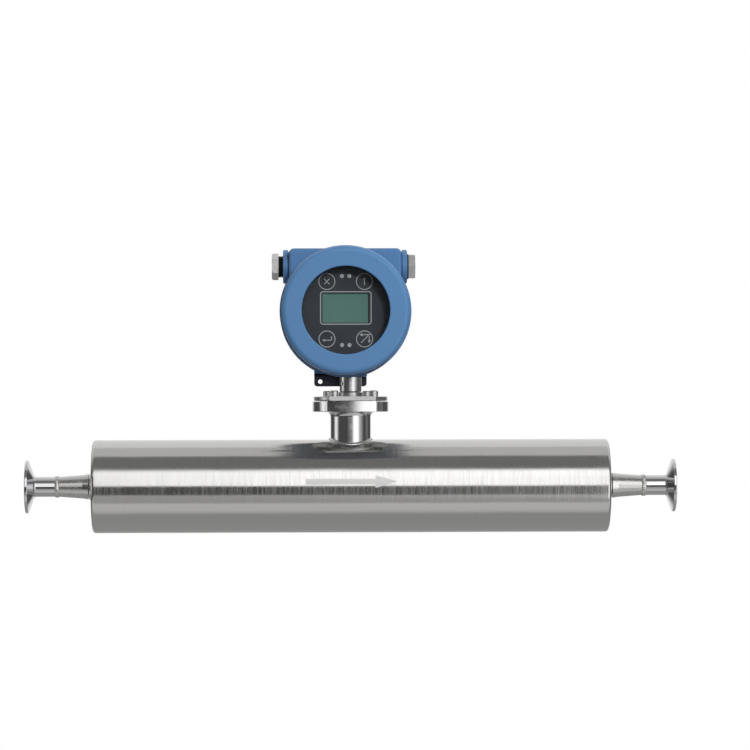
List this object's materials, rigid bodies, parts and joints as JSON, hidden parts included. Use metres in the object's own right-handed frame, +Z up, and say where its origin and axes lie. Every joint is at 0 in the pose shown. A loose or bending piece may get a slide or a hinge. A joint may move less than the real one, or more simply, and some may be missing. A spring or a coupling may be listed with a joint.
{
  "type": "coriolis flow meter",
  "caption": "Straight-through twin-tube mass flow meter: round steel case, clamp ferrules, neck flange and round blue display head.",
  "frame": {"origin": "centre of the inlet ferrule's sealing face", "axes": "+X along the flow line from inlet to outlet, +Z up the neck to the head, -Y the side the display looks to"},
  "size_m": [0.62, 0.129, 0.2728],
  "materials": {
    "ferrule_polish": "mirror polished stainless steel",
    "weld_steel": "rippled weld bead",
    "satin_steel": "satin stainless steel",
    "case_steel": "stainless steel brushed round the tube",
    "neck_polish": "polished stainless steel",
    "screw_steel": "plain stainless steel",
    "coil_winding": "enamelled copper winding",
    "magnet_nickel": "nickel plated magnet",
    "sensor_body": "stainless steel with glass seals",
    "blue_paint": "satin powder coat on cast aluminium",
    "navy_paint": "dark powder coat on sheet steel",
    "plug_metal": "nickel plated brass",
    "black_rubber": "matt black rubber",
    "panel_plastic": "charcoal printed panel",
    "lcd_green": "grey-green liquid crystal glass",
    "lamp_plastic": "clear light pipe",
    "window_clear": "tempered flat glass",
    "ring_aluminium": "turned aluminium",
    "circuit_board": "green solder mask",
    "post_brass": "plain brass",
    "potting_black": "black potting",
    "terminal_plastic": "grey moulded plastic"
  },
  "bodies": {
    "sensor": {"inlet_ferrule": "ferrule_polish", "inlet_ferrule_weld": "weld_steel", "inlet_reducer": "satin_steel", "inlet_case_weld": "weld_steel", "inlet_end_cap": "case_steel", "inlet_splitter": "satin_steel", "outlet_ferrule": "ferrule_polish", "outlet_ferrule_weld": "weld_steel", "outlet_reducer": "satin_steel", "outlet_case_weld": "weld_steel", "outlet_end_cap": "case_steel", "outlet_splitter": "satin_steel", "brace_plates": "satin_steel", "case_tube": "case_steel", "front_flow_tube": "satin_steel", "rear_flow_tube": "satin_steel", "inlet_pickoff_coil": "coil_winding", "inlet_pickoff_magnet": "magnet_nickel", "drive_coil": "coil_winding", "drive_magnet": "magnet_nickel", "outlet_pickoff_coil": "coil_winding", "outlet_pickoff_magnet": "magnet_nickel", "coil_saddles": "satin_steel", "magnet_saddles": "satin_steel", "temperature_sensor": "sensor_body", "neck_flange": "neck_polish", "neck_weld": "weld_steel", "feedthrough": "sensor_body", "flange_gasket": "black_rubber", "adapter_plate": "neck_polish", "flange_washers": "screw_steel", "flange_screws": "screw_steel"},
    "head": {"board_standoffs": "post_brass", "bracket_screws": "screw_steel", "bulkhead_seal": "potting_black", "cover_seals": "black_rubber", "display_board": "circuit_board", "display_panel": "panel_plastic", "earth_screw": "screw_steel", "housing": "blue_paint", "indicator_lamps": "lamp_plastic", "lcd_module": "lcd_green", "left_plug": "plug_metal", "left_plug_seal": "black_rubber", "main_board": "circuit_board", "power_module": "potting_black", "right_plug": "plug_metal", "right_plug_seal": "black_rubber", "stem": "neck_polish", "stem_set_screw": "screw_steel", "tag_bracket": "navy_paint", "terminal_block": "terminal_plastic", "terminal_board": "circuit_board", "terminal_posts": "post_brass", "terminal_screws": "screw_steel"},
    "front_cover": {"front_cover": "blue_paint", "window_gasket": "black_rubber", "window_glass": "window_clear", "window_retainer": "ring_aluminium"},
    "rear_cover": {"rear_cover": "blue_paint"}
  },
  "joints": [
    {"name": "head_swivel", "type": "hinge", "parent": "sensor", "child": "head", "pos_m": [0.31, 0, 0.0905], "axis": [0, 0, 1], "range_deg": [-175, 175]},
    {"name": "front_cover_off", "type": "slide", "parent": "head", "child": "front_cover", "axis": [0, -1, 0], "range_m": [0, 0.07]},
    {"name": "rear_cover_off", "type": "slide", "parent": "head", "child": "rear_cover", "axis": [0, 1, 0], "range_m": [0, 0.07]}
  ]
}
